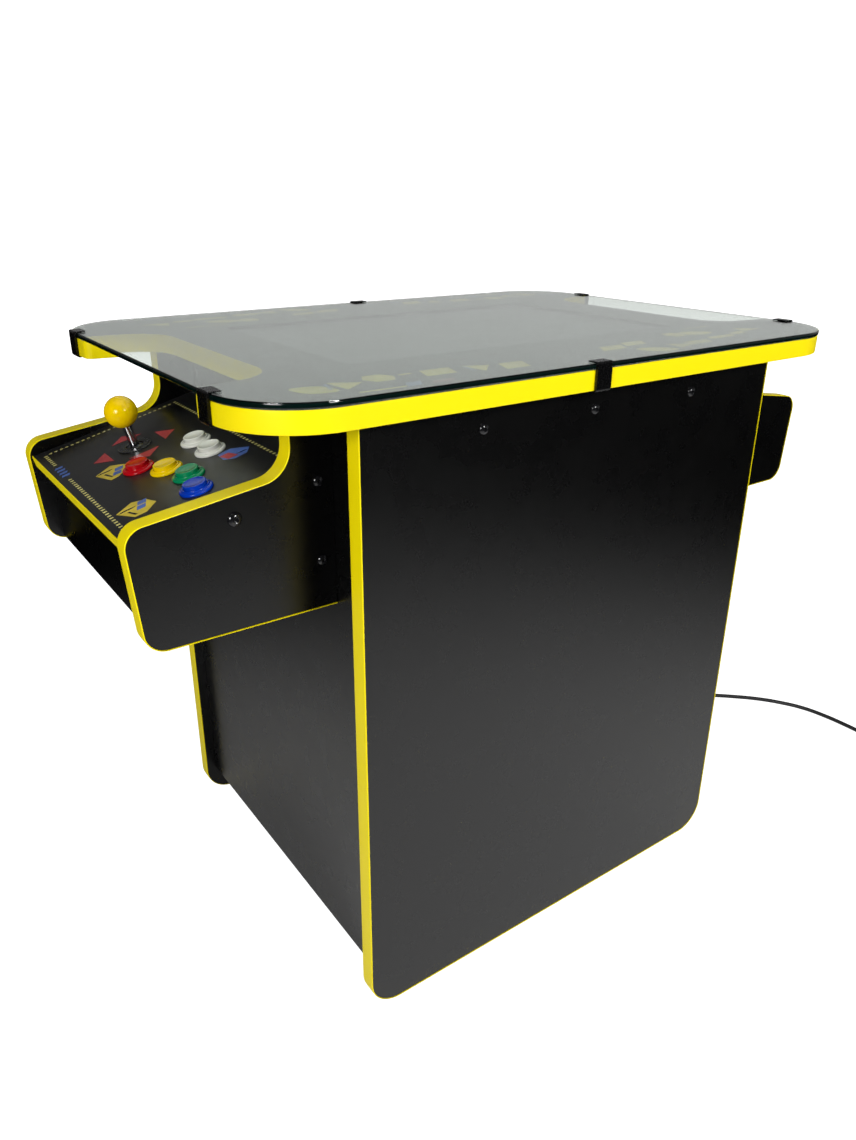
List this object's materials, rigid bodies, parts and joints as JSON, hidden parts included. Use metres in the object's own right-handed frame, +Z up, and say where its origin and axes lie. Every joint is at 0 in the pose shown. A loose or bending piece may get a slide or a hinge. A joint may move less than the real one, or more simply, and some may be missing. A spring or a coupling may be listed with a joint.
{
  "type": "arcade cabinet",
  "caption": "Cocktail-table arcade cabinet for two seated players, with a glass top over a flat monitor and a sloped joystick and button deck at each end.",
  "frame": {"origin": "on the floor, under the middle of the table", "axes": "+X along the table towards the second player's end, +Y across it towards its far long side, +Z up"},
  "size_m": [1.3129, 0.6937, 0.7367],
  "materials": {
    "laminate": "black satin laminate on fibreboard",
    "edging": "bright yellow vinyl edging, satin gloss",
    "table_glass": "clear tempered glass with green edges",
    "artwork": null,
    "screen": "dark display panel, switched off",
    "circuit": "green circuit board",
    "clip_steel": "black powder-coated steel",
    "shaft_chrome": "polished chrome",
    "black_plastic": "black moulded plastic",
    "ball_yellow": "glossy yellow ball",
    "cord_black": "black flexible cord",
    "button_red": "glossy red",
    "button_yellow": "glossy yellow",
    "button_green": "glossy green",
    "button_blue": "glossy blue",
    "button_white": "glossy white"
  },
  "bodies": {
    "cabinet": {"side_panel_near": "laminate", "side_edging_near": "edging", "side_panel_far": "laminate", "side_edging_far": "edging", "end_panel_left": "laminate", "end_panel_right": "laminate", "base_panel": "laminate", "top_board": "laminate", "top_edging": "edging", "artwork_sheet": "artwork", "glass_top": "table_glass", "monitor": "screen", "monitor_shelf": "laminate", "game_board": "circuit", "clip_side_near": "clip_steel", "clip_side_far": "clip_steel", "clip_left_near": "clip_steel", "clip_left_far": "clip_steel", "clip_right_near": "clip_steel", "clip_right_far": "clip_steel", "control_plate_left_near": "laminate", "plate_edging_left_near": "edging", "control_plate_left_far": "laminate", "plate_edging_left_far": "edging", "control_deck_left": "laminate", "deck_edging_left": "edging", "control_front_left": "laminate", "control_floor_left": "laminate", "joystick_gate_left": "black_plastic", "control_plate_right_near": "laminate", "plate_edging_right_near": "edging", "control_plate_right_far": "laminate", "plate_edging_right_far": "edging", "control_deck_right": "laminate", "deck_edging_right": "edging", "control_front_right": "laminate", "control_floor_right": "laminate", "joystick_gate_right": "black_plastic", "cord_gland": "black_plastic", "mains_cord": "cord_black", "mains_coil": "cord_black", "mains_plug": "black_plastic"},
    "gimbal_left": {"joystick_gimbal_left": "black_plastic"},
    "stick_left": {"joystick_shaft_left": "shaft_chrome", "joystick_ball_left": "ball_yellow"},
    "button_red_left": {"button_red_left": "button_red"},
    "button_yellow_left": {"button_yellow_left": "button_yellow"},
    "button_green_left": {"button_green_left": "button_green"},
    "button_blue_left": {"button_blue_left": "button_blue"},
    "button_white_a_left": {"button_white_a_left": "button_white"},
    "button_white_b_left": {"button_white_b_left": "button_white"},
    "gimbal_right": {"joystick_gimbal_right": "black_plastic"},
    "stick_right": {"joystick_shaft_right": "shaft_chrome", "joystick_ball_right": "ball_yellow"},
    "button_red_right": {"button_red_right": "button_red"},
    "button_yellow_right": {"button_yellow_right": "button_yellow"},
    "button_green_right": {"button_green_right": "button_green"},
    "button_blue_right": {"button_blue_right": "button_blue"},
    "button_white_a_right": {"button_white_a_right": "button_white"},
    "button_white_b_right": {"button_white_b_right": "button_white"}
  },
  "joints": [
    {"name": "joystick_pitch_left", "type": "hinge", "parent": "cabinet", "child": "gimbal_left", "pos_m": [-0.38589, 0.057, 0.60537], "axis": [0, 1, 0], "range_deg": [-8, 8], "stiffness_Nm_per_rad": 1.2},
    {"name": "joystick_roll_left", "type": "hinge", "parent": "gimbal_left", "child": "stick_left", "pos_m": [-0.38589, 0.057, 0.60537], "axis": [0.9659, 0, 0.2588], "range_deg": [-8, 8], "stiffness_Nm_per_rad": 1.2},
    {"name": "press_red_left", "type": "slide", "parent": "cabinet", "child": "button_red_left", "axis": [0.2588, 0, -0.9659], "range_m": [0, 0.003], "stiffness_N_per_m": 300, "springref_m": -0.003},
    {"name": "press_yellow_left", "type": "slide", "parent": "cabinet", "child": "button_yellow_left", "axis": [0.2588, 0, -0.9659], "range_m": [0, 0.003], "stiffness_N_per_m": 300, "springref_m": -0.003},
    {"name": "press_green_left", "type": "slide", "parent": "cabinet", "child": "button_green_left", "axis": [0.2588, 0, -0.9659], "range_m": [0, 0.003], "stiffness_N_per_m": 300, "springref_m": -0.003},
    {"name": "press_blue_left", "type": "slide", "parent": "cabinet", "child": "button_blue_left", "axis": [0.2588, 0, -0.9659], "range_m": [0, 0.003], "stiffness_N_per_m": 300, "springref_m": -0.003},
    {"name": "press_white_a_left", "type": "slide", "parent": "cabinet", "child": "button_white_a_left", "axis": [0.2588, 0, -0.9659], "range_m": [0, 0.003], "stiffness_N_per_m": 300, "springref_m": -0.003},
    {"name": "press_white_b_left", "type": "slide", "parent": "cabinet", "child": "button_white_b_left", "axis": [0.2588, 0, -0.9659], "range_m": [0, 0.003], "stiffness_N_per_m": 300, "springref_m": -0.003},
    {"name": "joystick_pitch_right", "type": "hinge", "parent": "cabinet", "child": "gimbal_right", "pos_m": [0.38589, -0.057, 0.60537], "axis": [0, -1, 0], "range_deg": [-8, 8], "stiffness_Nm_per_rad": 1.2},
    {"name": "joystick_roll_right", "type": "hinge", "parent": "gimbal_right", "child": "stick_right", "pos_m": [0.38589, -0.057, 0.60537], "axis": [-0.9659, 0, 0.2588], "range_deg": [-8, 8], "stiffness_Nm_per_rad": 1.2},
    {"name": "press_red_right", "type": "slide", "parent": "cabinet", "child": "button_red_right", "axis": [-0.2588, 0, -0.9659], "range_m": [0, 0.003], "stiffness_N_per_m": 300, "springref_m": -0.003},
    {"name": "press_yellow_right", "type": "slide", "parent": "cabinet", "child": "button_yellow_right", "axis": [-0.2588, 0, -0.9659], "range_m": [0, 0.003], "stiffness_N_per_m": 300, "springref_m": -0.003},
    {"name": "press_green_right", "type": "slide", "parent": "cabinet", "child": "button_green_right", "axis": [-0.2588, 0, -0.9659], "range_m": [0, 0.003], "stiffness_N_per_m": 300, "springref_m": -0.003},
    {"name": "press_blue_right", "type": "slide", "parent": "cabinet", "child": "button_blue_right", "axis": [-0.2588, 0, -0.9659], "range_m": [0, 0.003], "stiffness_N_per_m": 300, "springref_m": -0.003},
    {"name": "press_white_a_right", "type": "slide", "parent": "cabinet", "child": "button_white_a_right", "axis": [-0.2588, 0, -0.9659], "range_m": [0, 0.003], "stiffness_N_per_m": 300, "springref_m": -0.003},
    {"name": "press_white_b_right", "type": "slide", "parent": "cabinet", "child": "button_white_b_right", "axis": [-0.2588, 0, -0.9659], "range_m": [0, 0.003], "stiffness_N_per_m": 300, "springref_m": -0.003}
  ]
}
